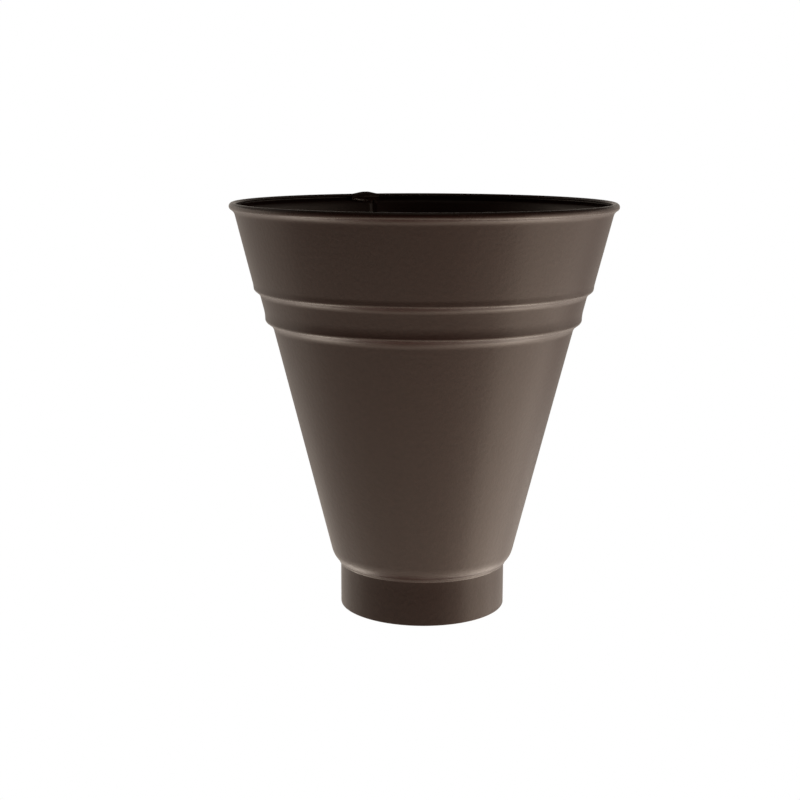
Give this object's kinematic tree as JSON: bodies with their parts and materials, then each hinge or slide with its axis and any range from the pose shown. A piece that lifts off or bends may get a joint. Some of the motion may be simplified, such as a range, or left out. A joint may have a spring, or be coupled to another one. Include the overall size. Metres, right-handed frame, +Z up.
{
  "type": "downpipe hopper head",
  "caption": "Round conical rainwater hopper head in dark brown coated sheet steel, with a curled rim, stepped bands and a short outlet spigot for a downpipe.",
  "frame": {"origin": "centre of the spigot's foot", "axes": "+Z up along the spigot's axis, +Y towards the folded seam and the wall"},
  "size_m": [0.2266, 0.2275, 0.2436],
  "materials": {
    "coated_sheet": "satin dark brown coating with a fine grain"
  },
  "bodies": {
    "root": {"hopper_cone": "coated_sheet", "outlet_spigot": "coated_sheet"}
  },
  "joints": []
}
